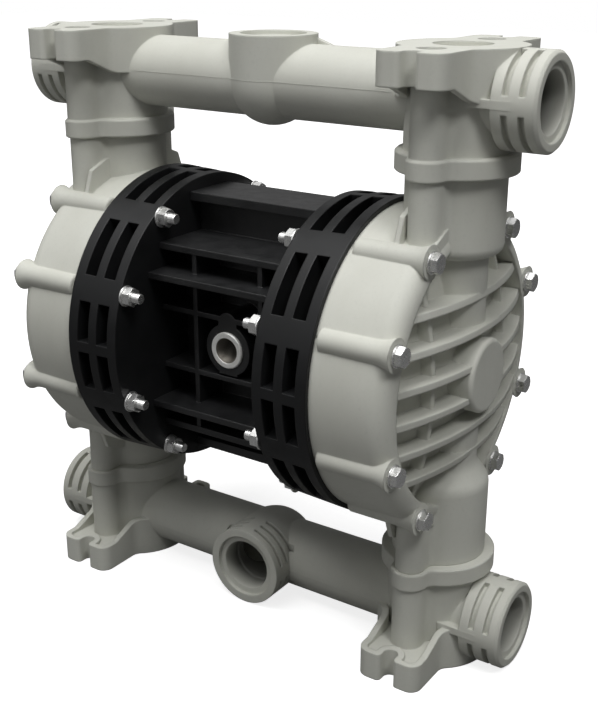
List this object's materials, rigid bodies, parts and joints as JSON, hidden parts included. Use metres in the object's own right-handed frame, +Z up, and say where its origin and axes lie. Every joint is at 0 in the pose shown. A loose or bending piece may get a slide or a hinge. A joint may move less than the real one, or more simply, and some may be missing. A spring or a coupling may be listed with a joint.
{
  "type": "air operated diaphragm pump",
  "caption": "Air operated double diaphragm pump: ribbed domed plastic chambers on a dark centre block, clamped manifolds with slotted feet, and a sliding shaft and check balls inside.",
  "frame": {"origin": "centre of the bounding box in plan, at the underside of the feet", "axes": "+X along the diaphragm shaft and both manifold pipes, -Y towards the side with the air inlet, +Z up"},
  "size_m": [0.436, 0.236, 0.45],
  "materials": {
    "grey_plastic": "moulded, fine grain",
    "black_plastic": "moulded, fine grain",
    "port_insert": "machined, threaded",
    "bush_metal": "machined",
    "steel_fastener": "plain stainless",
    "valve_ball": "smooth",
    "black_rubber": "moulded",
    "wetted_plastic": "moulded",
    "air_side_metal": "turned",
    "polished_steel": "ground"
  },
  "bodies": {
    "pump": {"centre_block": "black_plastic", "left_air_cover": "black_plastic", "right_air_cover": "black_plastic", "left_chamber": "grey_plastic", "right_chamber": "grey_plastic", "bottom_manifold": "grey_plastic", "top_manifold": "grey_plastic", "air_inlet_insert": "port_insert", "exhaust_insert": "port_insert", "left_chamber_bolts": "steel_fastener", "right_chamber_bolts": "steel_fastener", "left_head_washers": "steel_fastener", "right_head_washers": "steel_fastener", "left_nut_washers": "steel_fastener", "right_nut_washers": "steel_fastener", "left_nuts": "steel_fastener", "right_nuts": "steel_fastener", "bottom_tie_screws": "steel_fastener", "top_tie_screws": "steel_fastener", "tie_inserts": "bush_metal", "suction_seats": "wetted_plastic", "discharge_seats": "wetted_plastic", "suction_seat_rings": "black_rubber", "discharge_seat_rings": "black_rubber", "suction_ball_guides": "wetted_plastic", "discharge_ball_guides": "wetted_plastic", "left_diaphragm": "black_rubber", "right_diaphragm": "black_rubber", "shaft_bushes": "bush_metal", "shaft_seals": "black_rubber", "valve_sleeve": "bush_metal", "valve_plugs": "air_side_metal", "pilot_bushes": "bush_metal", "left_cover_screws": "steel_fastener", "right_cover_screws": "steel_fastener"},
    "shaft": {"diaphragm_shaft": "polished_steel", "left_inner_plate": "air_side_metal", "right_inner_plate": "air_side_metal", "left_outer_plate": "wetted_plastic", "right_outer_plate": "wetted_plastic"},
    "left_suction_ball": {"left_suction_ball": "valve_ball"},
    "right_suction_ball": {"right_suction_ball": "valve_ball"},
    "left_discharge_ball": {"left_discharge_ball": "valve_ball"},
    "right_discharge_ball": {"right_discharge_ball": "valve_ball"},
    "spool": {"valve_spool": "air_side_metal"},
    "pilot": {"pilot_rod": "polished_steel"}
  },
  "joints": [
    {"name": "shaft_slide", "type": "slide", "parent": "pump", "child": "shaft", "axis": [1, 0, 0], "range_m": [-0.009, 0.009], "deforming": ["left_diaphragm", "right_diaphragm"]},
    {"name": "left_suction_lift", "type": "slide", "parent": "pump", "child": "left_suction_ball", "axis": [0, 0, 1], "range_m": [0, 0.009]},
    {"name": "right_suction_lift", "type": "slide", "parent": "pump", "child": "right_suction_ball", "axis": [0, 0, 1], "range_m": [0, 0.009]},
    {"name": "left_discharge_lift", "type": "slide", "parent": "pump", "child": "left_discharge_ball", "axis": [0, 0, 1], "range_m": [0, 0.009]},
    {"name": "right_discharge_lift", "type": "slide", "parent": "pump", "child": "right_discharge_ball", "axis": [0, 0, 1], "range_m": [0, 0.009]},
    {"name": "spool_slide", "type": "slide", "parent": "pump", "child": "spool", "axis": [1, 0, 0], "range_m": [-0.006, 0.006]},
    {"name": "pilot_slide", "type": "slide", "parent": "pump", "child": "pilot", "axis": [1, 0, 0], "range_m": [-0.004, 0.004]}
  ],
  "couplings": [
    {"joint": "pilot_slide", "follows": "shaft_slide", "ratio": 0.44}
  ]
}
